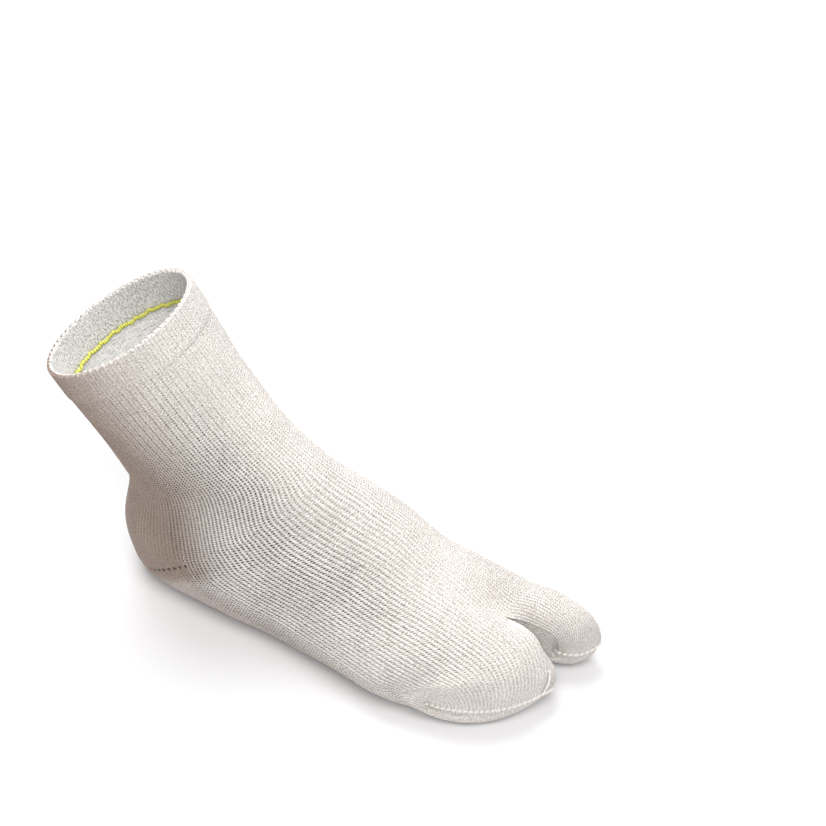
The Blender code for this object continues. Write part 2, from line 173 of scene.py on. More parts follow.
def pressed(points):  # the dip over the split between the toes
    dx = (points[..., 0] - form["cleftX"]) / form["dipLength"]
    dy = (points[..., 1] - form["cleftY"]) / form["dipWidth"]
    result = points.copy()
    result[..., 2] *= 1 - form["dip"] * np.exp(-(dx**2 + dy**2))
    return result


def unit(rows):
    return rows / np.maximum(np.linalg.norm(rows, axis=-1, keepdims=True), 1e-12)


def smoothStep(low, high, value):
    x = np.clip((value - low) / (high - low), 0.0, 1.0)
    return x * x * (3 - 2 * x)


def normalsOf(grid):  # outward normals of a grid that is closed round its rings
    along = np.gradient(grid, axis=0)
    around = (np.roll(grid, -1, axis=1) - np.roll(grid, 1, axis=1)) / 2
    return unit(np.cross(around, along))


def columnLengths(grid):  # how far each point is along its own wale, in courses
    gaps = np.linalg.norm(np.diff(grid, axis=0), axis=2) / knit["courseHeight"]
    return np.vstack([np.zeros(grid.shape[1]), np.cumsum(gaps, axis=0)])


places = [0.0]
for step, count in enumerate(knit["rowsPerStep"]):
    places += [step + (k + 1) / count for k in range(count)]
places = np.array(places)
tube = pressed(np.array([evenRing(t) for t in places]))
tubeNormal = normalsOf(tube)
tubeCourse = columnLengths(tube)
columns = tube.shape[1]
waleOf = np.arange(columns) / knit["pointsPerWale"]
turnOf = waleOf / knit["wales"]  # 0 front, 0.25 little-toe side, 0.5 back, 0.75 big-toe side
print("tube surface", tube.shape)


def rowAt(t):
    return int(np.argmin(np.abs(places - t)))


# Where the knit changes: t counts the stations from the rim, and a turn of 0.5 is the back
zones = {
    "sides": (0.22, 0.78),  # the turns where the eyelets are most open
    "sideReach": (0.07, 0.19),
    "frontShare": 0.4,  # how open they are at the front
    "openBelow": (1.0, 2.5),
    "finerBefore": (9.0, 12.0),
    "behind": (0.30, 0.70),
    "ribsEnd": (1.6, 3.2),
    # painted shade: how far round from the back the leg, the heel and the sole are darkened and browned
    "paintedShadeLeg": (0.15, 0.42),
    "paintedShadeHeel": (0.19, 0.32),
    "paintedShadeSole": (0.19, 0.26),
    "soleShare": 0.45,
    "plainReach": 0.215,
    "plainEdge": 0.02,
}


def zoneEyelet(t, turn):  # how open the eyelets between the wales look; their dark colour is painted shade seen through the holes
    side = np.minimum(*(np.abs(turn - middle) for middle in zones["sides"]))
    ofSide = 1 - smoothStep(*zones["sideReach"], side)
    ofHeight = 0.5 + 0.5 * smoothStep(*zones["openBelow"], t) - 0.4 * smoothStep(*zones["finerBefore"], t)
    front, back = zones["behind"]
    behind = np.where((turn < front) | (turn > back), 1.0, 0.5)
    return np.clip(ofSide * 0.7 + zones["frontShare"], 0, 1) * ofHeight * behind


def zoneRibbed(t):  # the top of the leg, where the knit draws in to ribs of two wales
    return 1 - smoothStep(*zones["ribsEnd"], t)


def zonePaintedShade(t, turn):  # painted shade, browner in hue, on the leg's back, the heel and the sole; on the heel and the sole it also stands for the darker dense knit
    fromBack = np.abs(turn - 0.5)
    onLeg = 1 - smoothStep(*zones["paintedShadeLeg"], fromBack)
    onHeel = (1 - smoothStep(*zones["paintedShadeHeel"], fromBack)) * (1 - smoothStep(7.0, 8.5, t))
    onSole = 1 - smoothStep(*zones["paintedShadeSole"], fromBack)
    onSole = zones["soleShare"] * onSole * (1 - smoothStep(11.0, 13.0, t))
    onHeel = np.maximum(onHeel, onSole)
    below = smoothStep(3.5, 5.0, t)
    return onLeg * (1 - below) + onHeel * below


def zonePlain(t, turn):  # the dense plain knit of the heel and the sole
    reach = zones["plainReach"] - 0.03 * smoothStep(6.0, 9.0, t)
    edge = zones["plainEdge"]
    return (1 - smoothStep(reach - edge, reach + edge, np.abs(turn - 0.5))) * smoothStep(4.6, 6.0, t)


def waleRelief(wale):  # a rounded column with a narrow groove at each side
    x = np.abs((wale % 1.0) - 0.5) * 2
    return 1 - x**2.5


def clothGrid(name, points, uv, layers, roundColumns, roundRows, cutRow=None):
    # a grid primitive whose points are laid on the sock, then joined where it meets itself
    rows, count = points.shape[:2]
    wide, high = count + roundColumns, rows + roundRows
    bpy.ops.object.select_all(action="DESELECT")
    bpy.ops.mesh.primitive_grid_add(x_subdivisions=wide - 1, y_subdivisions=high - 1, size=1)
    piece = bpy.context.active_object
    piece.name = name
    mesh = piece.data
    mesh.name = name
    r = np.arange(high) % rows
    c = np.arange(wide) % count
    laid = points[r][:, c].reshape(-1, 3) + np.array(form["shift"])
    laid[:, 2] = np.maximum(laid[:, 2], 0.0)  # nothing goes under the floor
    mesh.vertices.foreach_set("co", laid.astype(np.float32).ravel())
    for layer, values in layers.items():
        attribute = mesh.attributes.new(layer, "FLOAT", "POINT")
        attribute.data.foreach_set("value", values[r][:, c].astype(np.float32).ravel())
    index = np.empty(len(mesh.loops), dtype=np.int32)
    mesh.loops.foreach_get("vertex_index", index)
    stitches = uv[r][:, c].copy()
    if roundColumns:
        stitches[:, -1, 0] += (uv[0, 1, 0] - uv[0, 0, 0]) * count
    flat = stitches.reshape(-1, 2)[index]
    mesh.uv_layers[0].name = "stitches"
    mesh.uv_layers[0].data.foreach_set("uv", flat.astype(np.float32).ravel())
    mesh.update()
    bpy.ops.object.mode_set(mode="EDIT")
    bpy.ops.mesh.select_all(action="DESELECT")
    bpy.ops.object.mode_set(mode="OBJECT")
    if cutRow is not None:
        chosen = np.zeros((high - 1, wide - 1), dtype=bool)
        chosen[cutRow] = True
        mesh.polygons.foreach_set("select", chosen.ravel())
        bpy.ops.object.mode_set(mode="EDIT")
        bpy.ops.mesh.delete(type="ONLY_FACE")
        bpy.ops.object.mode_set(mode="OBJECT")
    bpy.ops.object.mode_set(mode="EDIT")
    bpy.ops.mesh.select_all(action="SELECT")
    bpy.ops.mesh.remove_doubles(threshold=0.00001)
    bpy.ops.mesh.normals_make_consistent(inside=False)
    bpy.ops.mesh.select_all(action="DESELECT")
    bpy.ops.object.mode_set(mode="OBJECT")
    bpy.ops.object.shade_smooth_by_angle(angle=math.radians(knit["sharpAngle"]))
    return piece


def stitchUv(rows, columnIndex):
    uv = np.empty((len(rows), len(columnIndex), 2))
    uv[:, :, 0] = waleOf[columnIndex][None, :]
    uv[:, :, 1] = tubeCourse[rows][:, columnIndex]
    return uv


def layersFor(rows, columnIndex):
    t = places[rows][:, None]
    turn = turnOf[columnIndex][None, :]
    every = np.ones((len(rows), len(columnIndex)))
    return {"eyelet": zoneEyelet(t, turn) * every,
            "plain": zonePlain(t, turn) * every,
            "ribbed": zoneRibbed(t) * every,
            "paintedShade": zonePaintedShade(t, turn) * every,
            "gore": goreOpen[rows][:, columnIndex],
            "inside": 0 * every}


relief = {
    "waleHeight": 0.00042,  # how far a column stands over its grooves
    "plainHeight": 0.00018,
    "toeHeight": 0.00028,
    "innerHeight": 0.00015,  # on the inner face
    "fuzz": 0.00006,  # fine unevenness of the loops
    "plainFuzz": 0.00014,
    "swell": 0.0007,  # slow unevenness of the worn cloth
    "swellSize": 0.030,
}

# The gore of the heel: a slanting row of larger holes on each side, with a faint crease
gore = {
    "lines": [  # side, start and end as x and z, holes
        (-1, (0.0230, 0.0105), (0.0500, 0.0335), 9),
        (1, (0.0400, 0.0100), (0.0740, 0.0470), 15),
    ],
    "fromMiddle": 0.008,  # a line stays this far from the heel's middle
    "holeSize": 0.0013,
    "holeDepth": 0.0009,
    "creaseWidth": 0.0016,
    "creaseDepth": 0.0005,
}


def goreLayers():
    holes, crease = np.zeros(tube.shape[:2]), np.zeros(tube.shape[:2])
    onFoot = (places > 4.5)[:, None]
    for side, (x0, z0), (x1, z1), count in gore["lines"]:
        onSide = (side * tube[:, :, 1] > gore["fromMiddle"]) & onFoot
        flat = tube[:, :, (0, 2)]
        start, run = np.array((x0, z0)), np.array((x1 - x0, z1 - z0))
        share = np.clip((flat - start) @ run / (run @ run), 0, 1)
        far = np.linalg.norm(flat - start - share[:, :, None] * run, axis=2)
        fadeOut = np.minimum(1, 8 * share * (1 - share))
        crease += np.exp(-(far / gore["creaseWidth"]) ** 2) * onSide * fadeOut
        for k in range(count):
            centre = start + run * k / (count - 1)
            apart = np.linalg.norm(flat - centre, axis=2)
            holes = np.maximum(holes, (1 - smoothStep(0.4, 1.0, apart / gore["holeSize"])) * onSide)
    return holes, crease


def unevenness():
    swell = np.empty(tube.shape[:2])
    for i in range(tube.shape[0]):
        for j in range(0, tube.shape[1], knit["pointsPerWale"]):
            swell[i, j:j + knit["pointsPerWale"]] = noise.noise(Vector(tube[i, j] / relief["swellSize"]))
    swell = (swell + np.roll(swell, knit["pointsPerWale"] // 2, axis=1)) / 2
    keep = np.minimum(smoothStep(1.0, 2.0, places), 1 - smoothStep(11.5, 13.0, places))[:, None]
    loops = np.random.RandomState(7).uniform(-1, 1, tube.shape[:2])
    return swell * relief["swell"] * keep, loops


goreOpen, goreCrease = goreLayers()
slowLift, loopLift = unevenness()


def clothOuter(rows, columnIndex):
    t = places[rows][:, None]
    turn = turnOf[columnIndex][None, :]
    plain = zonePlain(t, turn)
    onFoot = smoothStep(9.0, 13.0, t)
    height = relief["waleHeight"] * (1 - onFoot) + relief["toeHeight"] * onFoot
    height = height * (1 - plain) + relief["plainHeight"] * plain
    lift = height * (waleRelief(waleOf[columnIndex])[None, :] - 1.0)
    fuzz = relief["fuzz"] * (1 - plain) + relief["plainFuzz"] * plain
    lift += loopLift[rows][:, columnIndex] * fuzz
    lift += slowLift[rows][:, columnIndex] - gore["holeDepth"] * goreOpen[rows][:, columnIndex]
    lift -= gore["creaseDepth"] * goreCrease[rows][:, columnIndex]
    return tube[rows][:, columnIndex] + tubeNormal[rows][:, columnIndex] * lift[:, :, None]


def clothInner(rows, columnIndex):
    lift = relief["innerHeight"] * waleRelief(waleOf[columnIndex])[None, :]
    inward = form["wall"] + lift - slowLift[rows][:, columnIndex]
    return tube[rows][:, columnIndex] - tubeNormal[rows][:, columnIndex] * inward[:, :, None]


def tubePiece(name, start, end, innerStep=3):
    first, last = rowAt(start), rowAt(end)
    rows = np.arange(first, last + 1)
    back = np.unique(np.append(np.arange(first, last + 1, innerStep), last))[::-1]
    every = np.arange(columns)
    points = np.concatenate([clothOuter(rows, every), clothInner(back, every)])
    uv = np.concatenate([stitchUv(rows, every), stitchUv(back, every)])
    layers = layersFor(np.concatenate([rows, back]), every)
    layers["inside"][len(rows):] = 1.0
    return clothGrid(name, points, uv, layers, True, True)


def patchPiece(name, start, end, fromTurn, toTurn):
    first, last = rowAt(start), rowAt(end)
    rows = np.arange(first, last + 1)
    left, right = round(fromTurn * columns), round(toTurn * columns)
    part = np.arange(left, right + 1) % columns
    back = rows[::-1]
    outer = clothOuter(rows, part)
    inner = clothInner(back, part)
    inner[:, 0] = outer[::-1, 0]
    inner[:, -1] = outer[::-1, -1]
    uvOuter = stitchUv(rows, part)
    uvOuter[:, :, 0] = (left + np.arange(len(part)))[None, :] / knit["pointsPerWale"]
    uv = np.concatenate([uvOuter, uvOuter[::-1]])
    layers = layersFor(np.concatenate([rows, back]), part)
    layers["inside"][len(rows):] = 1.0
    return clothGrid(name, np.concatenate([outer, inner]), uv, layers, False, True)


# Colours and finishes
def linear(hexColour, *alpha):
    values = [int(hexColour[i:i + 2], 16) / 255 for i in (1, 3, 5)]
    rgb = [v / 12.92 if v <= 0.04045 else ((v + 0.055) / 1.055) ** 2.4 for v in values]
    return (*rgb, *alpha)


def addNode(tree, kind, inputs=None, **settings):
    node = tree.nodes.new(kind)
    for name, value in settings.items():
        setattr(node, name, value)
    for key, value in (inputs or {}).items():
        if isinstance(value, bpy.types.NodeSocket):
            tree.links.new(value, node.inputs[key])
        else:
            node.inputs[key].default_value = value
    return node


def newMaterial(name):
    material = bpy.data.materials.new(name)
    material.use_nodes = True
    tree = material.node_tree
    shader = tree.nodes["Principled BSDF"]
    return material, tree, shader


cotton = {
    "yarn": "#e6e1dd",
    "darkFibre": "#8b7c70",
    "paleFibre": "#fffdfa",
    "paintedShadeColour": "#ab988b",  # painted shade, browner in hue, for the heel, the sole and the back of the leg
    # painted shade: the dark seen through the eyelets and the gore's holes, and along the grooves
    "holeShade": "#332a24",
    "roughness": 0.92,
    "specular": 0.25,
    "sheen": 0.30,
    "sheenRoughness": 0.6,
}


# Heathered cotton yarn, weft knitted: matt and soft, with short brown-grey and white fibres
# spun in. One unit of the map called stitches is a wale of 2 mm across and a course of
# 1.4 mm along.
def cottonKnit(name, reverseWithPaintedLight, eyeletDepth):
    material, tree, shader = newMaterial(name)
    uv = addNode(tree, "ShaderNodeUVMap", uv_map="stitches").outputs["UV"]
    apart = addNode(tree, "ShaderNodeSeparateXYZ", {0: uv})
    wale, course = apart.outputs["X"], apart.outputs["Y"]
    layers = ("plain", "eyelet", "ribbed", "inside", "paintedShade", "gore")
    plain, eyelet, ribbed, inside, paintedShade, goreHole = (
        addNode(tree, "ShaderNodeAttribute", attribute_name=layer).outputs["Fac"] for layer in layers)

    # how far a point is from the groove between two wales, and from a row of eyelets
    groove = addNode(tree, "ShaderNodeMath", {0: wale, 1: 0.5}, operation="PINGPONG").outputs[0]
    row = addNode(tree, "ShaderNodeMath", {0: course, 1: 0.5}, operation="PINGPONG").outputs[0]
    # each eyelet is a dot of about 1 mm, fading at its edge, painted dark as the shade seen through the
    # hole
    across = addNode(tree, "ShaderNodeMapRange", {0: groove, 1: 0.14, 2: 0.36, 3: 1.0, 4: 0.0},
                     interpolation_type="SMOOTHSTEP").outputs[0]
    along = addNode(tree, "ShaderNodeMapRange", {0: row, 1: 0.18, 2: 0.40, 3: 1.0, 4: 0.0},
                    interpolation_type="SMOOTHSTEP").outputs[0]
    dot = addNode(tree, "ShaderNodeMath", {0: across, 1: along}, operation="MULTIPLY").outputs[0]
    # where the leg is ribbed, every second groove closes up
    odd = addNode(tree, "ShaderNodeMath", {0: wale, 1: 1.0}, operation="PINGPONG").outputs[0]
    closed = addNode(tree, "ShaderNodeMath", {0: odd, 1: ribbed}, operation="MULTIPLY").outputs[0]
    opened = addNode(tree, "ShaderNodeMapRange", {0: closed, 1: 0.0, 2: 1.0, 3: 1.0, 4: 0.15}).outputs[0]
    # no two eyelets are alike
    cell = addNode(tree, "ShaderNodeVectorMath", {0: uv, 1: (0.5, 0.5, 0.0)}, operation="ADD").outputs[0]
    cell = addNode(tree, "ShaderNodeVectorMath", {0: cell}, operation="FLOOR").outputs[0]
    chance = addNode(tree, "ShaderNodeTexWhiteNoise", {"Vector": cell}).outputs["Value"]
    chance = addNode(tree, "ShaderNodeMapRange", {0: chance, 1: 0.0, 2: 1.0, 3: 0.70, 4: 1.25}).outputs[0]
    kept = addNode(tree, "ShaderNodeMapRange", {0: plain, 1: 0.0, 2: 1.0, 3: eyeletDepth,
                   4: 0.25 * eyeletDepth}).outputs[0]
    dark = dot
    for share in (eyelet, opened, chance, kept):
        dark = addNode(tree, "ShaderNodeMath", {0: dark, 1: share}, operation="MULTIPLY").outputs[0]
    # painted shade: a faint darkening along each groove between the wales
    line = addNode(tree, "ShaderNodeMapRange", {0: groove, 1: 0.0, 2: 0.24, 3: 0.06, 4: 0.0},
                   interpolation_type="SMOOTHSTEP").outputs[0]
    line = addNode(tree, "ShaderNodeMath", {0: line, 1: opened}, operation="MULTIPLY").outputs[0]
    dark = addNode(tree, "ShaderNodeMath", {0: dark, 1: line}, operation="MAXIMUM").outputs[0]
    # painted shade in the gore's holes
    dark = addNode(tree, "ShaderNodeMath", {0: dark, 1: goreHole}, operation="MAXIMUM",
                   use_clamp=True).outputs[0]

    # fibres of another shade: specks of 0.8 mm that follow the yarn, mixed with finer ones of
    # 0.7 mm, drawn as coarse as they show in the picture
    stretch = addNode(tree, "ShaderNodeVectorMath", {0: uv, 1: (2.6, 1.7, 1.0)},
                      operation="MULTIPLY").outputs[0]
    speck = addNode(tree, "ShaderNodeTexNoise", {"Vector": stretch, "Scale": 1.0, "Detail": 2.0,
                    "Roughness": 0.8}).outputs["Fac"]
    place = addNode(tree, "ShaderNodeTexCoord").outputs["Object"]
    fibre = addNode(tree, "ShaderNodeTexNoise", {"Vector": place, "Scale": 1400.0, "Detail": 2.0,
                    "Roughness": 0.7}).outputs["Fac"]
    mixed = addNode(tree, "ShaderNodeMix", {0: 0.4, 2: speck, 3: fibre}).outputs[0]
    darkFibre = addNode(tree, "ShaderNodeMapRange", {0: mixed, 1: 0.49, 2: 0.62, 3: 0.0,
                        4: 0.75}).outputs[0]
    paleFibre = addNode(tree, "ShaderNodeMapRange", {0: mixed, 1: 0.37, 2: 0.48, 3: 1.0,
                        4: 0.0}).outputs[0]
    yarn = addNode(tree, "ShaderNodeMix", {0: paleFibre, 6: linear(cotton["yarn"], 1),
                   7: linear(cotton["paleFibre"], 1)}, data_type="RGBA").outputs[2]
    yarn = addNode(tree, "ShaderNodeMix", {0: darkFibre, 6: yarn, 7: linear(cotton["darkFibre"], 1)},
                   data_type="RGBA").outputs[2]
    # painted shade: the yarn is multiplied by a browner, darker colour where this layer is set
    paintedShadeYarn = addNode(tree, "ShaderNodeMix", {0: paintedShade, 6: yarn, 7: linear(cotton["paintedShadeColour"], 1)},
                     data_type="RGBA", blend_type="MULTIPLY").outputs[2]

    # the inner face shows the back of the knit, greyer, with its own flecks and no eyelets; its colours
    # also carry painted light inside the leg and painted shade inside the hem
    stretch = addNode(tree, "ShaderNodeVectorMath", {0: uv, 1: reverseWithPaintedLight["stretch"]},
                      operation="MULTIPLY").outputs[0]
    fleck = addNode(tree, "ShaderNodeTexNoise", {"Vector": stretch, "Scale": 1.0, "Detail": 2.5,
                    "Roughness": 0.75}).outputs["Fac"]
    fleck = addNode(tree, "ShaderNodeMapRange", {0: fleck, 1: 0.45, 2: 0.64, 3: 0.0, 4: 0.9}).outputs[0]
    back = addNode(tree, "ShaderNodeMix", {0: fleck, 6: linear(reverseWithPaintedLight["yarn"], 1),
                   7: linear(reverseWithPaintedLight["fleck"], 1)}, data_type="RGBA").outputs[2]
    dark = addNode(tree, "ShaderNodeMath", {0: dark, 1: inside}, operation="SUBTRACT",
                   use_clamp=True).outputs[0]
    yarn = addNode(tree, "ShaderNodeMix", {0: inside, 6: paintedShadeYarn, 7: back}, data_type="RGBA").outputs[2]
    # lighter and darker patches of about 20 mm
    cloud = addNode(tree, "ShaderNodeTexNoise", {"Vector": place, "Scale": 55.0,
                    "Detail": 2.0}).outputs["Fac"]
    tone = addNode(tree, "ShaderNodeMapRange", {0: cloud, 1: 0.3, 2: 0.7, 3: 0.94, 4: 1.05}).outputs[0]
    yarn = addNode(tree, "ShaderNodeVectorMath", {0: yarn, "Scale": tone}, operation="SCALE").outputs[0]
    # painted shade: the holes and grooves take the dark colour
    colour = addNode(tree, "ShaderNodeMix", {0: dark, 6: yarn, 7: linear(cotton["holeShade"], 1)},
                     data_type="RGBA").outputs[2]
    tree.links.new(colour, shader.inputs["Base Color"])

    # the two legs of each stitch lean towards its groove, and the eyelets sink
    lean = addNode(tree, "ShaderNodeMath", {0: groove, 1: 1.2, 2: course},
                   operation="MULTIPLY_ADD").outputs[0]
    leg = addNode(tree, "ShaderNodeMath", {0: lean, 1: 0.5}, operation="PINGPONG").outputs[0]
    ridge = addNode(tree, "ShaderNodeMath", {0: leg, 1: -1.0, 2: mixed},
                    operation="MULTIPLY_ADD").outputs[0]
    height = addNode(tree, "ShaderNodeMath", {0: dot, 1: -0.8, 2: ridge},
                     operation="MULTIPLY_ADD").outputs[0]
    bump = addNode(tree, "ShaderNodeBump", {"Strength": 0.6, "Distance": 0.0004, "Height": height})
    tree.links.new(bump.outputs["Normal"], shader.inputs["Normal"])
    shader.inputs["Roughness"].default_value = cotton["roughness"]
    shader.inputs["Specular IOR Level"].default_value = cotton["specular"]
    shader.inputs["Sheen Weight"].default_value = cotton["sheen"]
    shader.inputs["Sheen Roughness"].default_value = cotton["sheenRoughness"]
    return material


# The reverse of each knit: flecks of 3 to 4 mm round the leg, and up and down in the hem. The leg's inner
# face is whiter than the yarn as painted light, and the hem's inner face has flecks darkened as painted
# shade.
legReversePaintedLight = {"stretch": (0.45, 2.4, 1.0), "yarn": "#ffffff", "fleck": "#bdbbb8"}
hemReversePaintedShade = {"stretch": (2.6, 0.9, 1.0), "yarn": "#ecebe9", "fleck": "#8f8d8a"}
legKnit = cottonKnit("heathered cotton knit", legReversePaintedLight, eyeletDepth=1.0)
hemKnit = cottonKnit("heathered cotton rib", hemReversePaintedShade, eyeletDepth=0.6)


# Plied cotton yarn: whiter and smoother than the knit, its plies 0.8 to 1 mm apart. The bands
# of a wave texture repeat every 0.3 divided by its scale, and the fibres are 0.5 mm long.
def plyYarn(name, pale, dark, plyPitch):
    material, tree, shader = newMaterial(name)
    place = addNode(tree, "ShaderNodeTexCoord").outputs["Object"]
    fibre = addNode(tree, "ShaderNodeTexNoise", {"Vector": place, "Scale": 1800.0,
                    "Detail": 2.0}).outputs["Fac"]
    ply = addNode(tree, "ShaderNodeTexWave", {"Vector": place, "Scale": 0.3 / plyPitch, "Distortion": 1.5},
                  wave_type="BANDS", bands_direction="DIAGONAL").outputs["Fac"]
    mixed = addNode(tree, "ShaderNodeMix", {0: 0.5, 2: ply, 3: fibre}).outputs[0]
    tint = addNode(tree, "ShaderNodeMapRange", {0: mixed, 1: 0.3, 2: 0.7, 3: 0.0, 4: 1.0}).outputs[0]
    yarn = addNode(tree, "ShaderNodeMix", {0: tint, 6: linear(dark, 1), 7: linear(pale, 1)},
                   data_type="RGBA").outputs[2]
    tree.links.new(yarn, shader.inputs["Base Color"])
    bump = addNode(tree, "ShaderNodeBump", {"Strength": 0.5, "Distance": 0.0002, "Height": mixed})
    tree.links.new(bump.outputs["Normal"], shader.inputs["Normal"])
    shader.inputs["Roughness"].default_value = 0.85
    shader.inputs["Sheen Weight"].default_value = cotton["sheen"]
    return material


seamYarn = plyYarn("linked cotton yarn", "#fdfbf8", "#d9d0c8", plyPitch=0.0008)
limeYarn = plyYarn("lime marker yarn", "#e6e67c", "#b3b52f", plyPitch=0.0010)


def dress(piece, material, node):
    piece.data.materials.clear()
    piece.data.materials.append(material)
    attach(piece, "root")
    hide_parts(node)


hem = {
    "thickness": 0.0030,  # two layers of rib
    "proud": 0.0006,
    "ribHeight": 0.00055,
    "scallop": 0.0009,
    "outerRows": 14,
    "rimRows": 9,
    "straightEnd": 0.975,  # where the straight part ends, with the rim at 0 and the leg's start at 1
    "eyelet": 0.45,
}


def ringAndNormal(t):
    ring = evenRing(t)
    along = evenRing(t + 0.01) - evenRing(t - 0.01)
    around = (np.roll(ring, -1, axis=0) - np.roll(ring, 1, axis=0)) / 2
    return ring, unit(np.cross(around, along))


def makeHem():
    radius = hem["thickness"] / 2
    top = radius / form["hemHeight"]
    outside, inside = hem["proud"], hem["proud"] - hem["thickness"]
    end = hem["straightEnd"]
    # each row of the profile is its place, its height over the leg and its share of the ribs
    profile = [(1.012, -0.0012, 0.2), (1.008, -0.0003, 0.5), (0.996, 0.0003, 0.8)]
    profile += [(end + (top - end) * k / hem["outerRows"], outside, 1.0)
                for k in range(hem["outerRows"])]
    for k in range(hem["rimRows"]):
        angle = math.pi * k / (hem["rimRows"] - 1)
        profile.append((top - top * math.sin(angle), outside - radius + radius * math.cos(angle), 0.9))
    profile += [(top + (end - top) * (k + 1) / hem["outerRows"], inside, 0.5)
                for k in range(hem["outerRows"])]
    profile += [(1.0, inside + 0.0003, 0.4), (1.008, inside + 0.0008, 0.2)]
    rings, layers = [], {"eyelet": [], "ribbed": [], "paintedShade": [], "inside": []}
    pairs = waleRelief(waleOf / 2 + 0.5)  # ribs of two wales
    loops = np.random.RandomState(3)
    for t, offset, rib in profile:
        ring, normal = ringAndNormal(t)
        atRim = 1 - smoothStep(0.0, 0.25, np.abs(t))
        down = unit(evenRing(t + 0.02) - ring)
        lift = hem["ribHeight"] * rib * (0.5 * waleRelief(waleOf) + 0.5 * pairs - 1.0)
        lift = lift + loops.uniform(-1, 1, columns) * relief["fuzz"]
        way = 1.0 if offset > outside - radius else -1.0
        ring = ring + normal * (offset + lift * way)[:, None]
        rings.append(ring + down * (hem["scallop"] * atRim * (1 - pairs))[:, None])
        layers["eyelet"].append(np.full(columns, hem["eyelet"]))
        layers["ribbed"].append(np.ones(columns))
        # painted shade at the back of the hem
        layers["paintedShade"].append(zonePaintedShade(1.0, turnOf))
        layers["inside"].append(np.full(columns, 0.0 if way > 0 else 1.0))
    points = np.array(rings)
    uv = np.empty((len(profile), columns, 2))
    uv[:, :, 0] = waleOf[None, :]
    uv[:, :, 1] = -columnLengths(points)
    layers = {name: np.array(values) for name, values in layers.items()}
    return clothGrid("turnedHem", points, uv, layers, True, True)


dress(makeHem(), hemKnit, "cuff")
print("turned hem")

# Where one piece ends and the next begins, in stations and turns
joints = {"legTop": 1.0, "ankle": 4.0, "heelTop": 5.0, "heelEnd": 8.5, "split": 13.0, "heelHalf": 0.22}
heelLeft, heelRight = 0.5 - joints["heelHalf"], 0.5 + joints["heelHalf"]
leg = tubePiece("legTube", joints["legTop"], joints["ankle"], innerStep=1)
dress(leg, legKnit, "leg")
ankle = tubePiece("ankleBand", joints["ankle"], joints["heelTop"])
instep = patchPiece("instep", joints["heelTop"], joints["heelEnd"], heelRight - 1, heelLeft)
heel = patchPiece("heelPouch", joints["heelTop"], joints["heelEnd"], heelLeft, heelRight)
forefoot = tubePiece("forefoot", joints["heelEnd"], joints["split"])
for piece in (ankle, instep, forefoot):
    dress(piece, legKnit, "foot")
dress(heel, legKnit, "heel_pouch")
print("leg and foot")

# Rings of the toe pockets after the split. Each row has x and y of the inner end and of the
# outer end, as shares of the pocket's length and width, then the bottom and the top, as
# shares of the ball's height, and how far the ring bows forward, as a share of its span.
bigToe = {
    "length": form["bigToeLength"],
    "width": form["bigToeWidth"],
    "side": 1,
    "settle": 2.0,  # how many rings it takes to lose the corners of the split
    "rings": [
        (0.16, 0.08, 0.30, 0.950, 0.000, 0.800, 0.03),
        (0.32, 0.13, 0.54, 0.945, 0.010, 0.720, 0.07),
        (0.42, 0.18, 0.74, 0.930, 0.030, 0.640, 0.11),
        (0.48, 0.22, 0.86, 0.870, 0.060, 0.550, 0.15),
        (0.50, 0.26, 0.92, 0.800, 0.110, 0.440, 0.18),
        (0.50, 0.29, 0.93, 0.740, 0.160, 0.330, 0.20),
    ],
}
smallToes = {
    "length": form["smallToesLength"],
    "width": form["smallToesWidth"],
    "side": -1,
    "settle": 4.0,
    "rings": [
        (0.30, -0.03, -1.09, 1.012, 0.000, 0.780, 0.200),
        (0.60, -0.04, -0.99, 1.004, 0.015, 0.690, 0.195),
        (0.84, 0.00, -0.90, 0.990, 0.035, 0.590, 0.190),
        (0.97, 0.06, -0.82, 0.970, 0.065, 0.490, 0.180),
        (1.02, 0.13, -0.75, 0.942, 0.100, 0.390, 0.165),
        (1.01, 0.20, -0.69, 0.910, 0.130, 0.290, 0.150),
    ],
}
pocket = {
    "corner": 145.0,  # the turn from a ring's outer end to where the split wall starts
    "innerRound": 2.2,  # 2 is an ellipse, and more is squarer
    "outerRound": 2.1,
    "wallPoints": 92,  # down the wall at the split
    "rows": 48,
    "cleftGap": 0.0006,
    "eyelet": 0.3,
    "seamFlatten": 0.6,  # how much of the wales' relief is lost at the seam
}

lastRing = evenRing(places[-1])
quarterTurn = columns // 4
topIndex = min(range(-quarterTurn, quarterTurn),
               key=lambda k: abs(lastRing[k][1] - form["cleftY"]))
soleIndex = min(range(quarterTurn, 3 * quarterTurn),
                key=lambda k: abs(lastRing[k][1] - form["cleftY"]))


